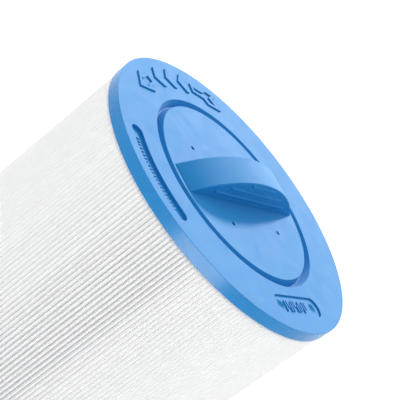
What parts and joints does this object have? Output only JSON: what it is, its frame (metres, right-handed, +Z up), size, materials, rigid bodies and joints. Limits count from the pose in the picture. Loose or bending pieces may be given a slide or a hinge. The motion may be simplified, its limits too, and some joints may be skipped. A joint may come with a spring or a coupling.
{
  "type": "filter cartridge",
  "caption": "Cylindrical pleated filter cartridge: closed top cap with a crowned grip handle and turning arrow, perforated core, open bottom cap with a coarse-threaded outlet nozzle.",
  "frame": {"origin": "centre of the outlet nozzle's lowest face, at the bottom of the part", "axes": "+Z up along the cartridge's axis from nozzle to handle; +X along the handle's length; +Y across the handle"},
  "size_m": [0.1524, 0.1524, 0.2507],
  "materials": {
    "cap_blue": "light blue moulded polymer, satin with a faint mould texture",
    "handle_blue": "light blue moulded polymer, satin",
    "nozzle_blue": "light blue injection moulded plastic, satin",
    "potting": "cast adhesive, slightly glossy",
    "media": "white spun-bonded polyester, fuzzy matt",
    "seam": "hot-melt adhesive, dull",
    "core": "white polypropylene, satin"
  },
  "bodies": {
    "root": {"top_cap_ring": "cap_blue", "handle_disc": "handle_blue", "top_potting": "potting", "pleated_media": "media", "seam_strip": "seam", "core_tube": "core", "bottom_potting": "potting", "bottom_cap": "cap_blue", "threaded_nozzle": "nozzle_blue"}
  },
  "joints": []
}
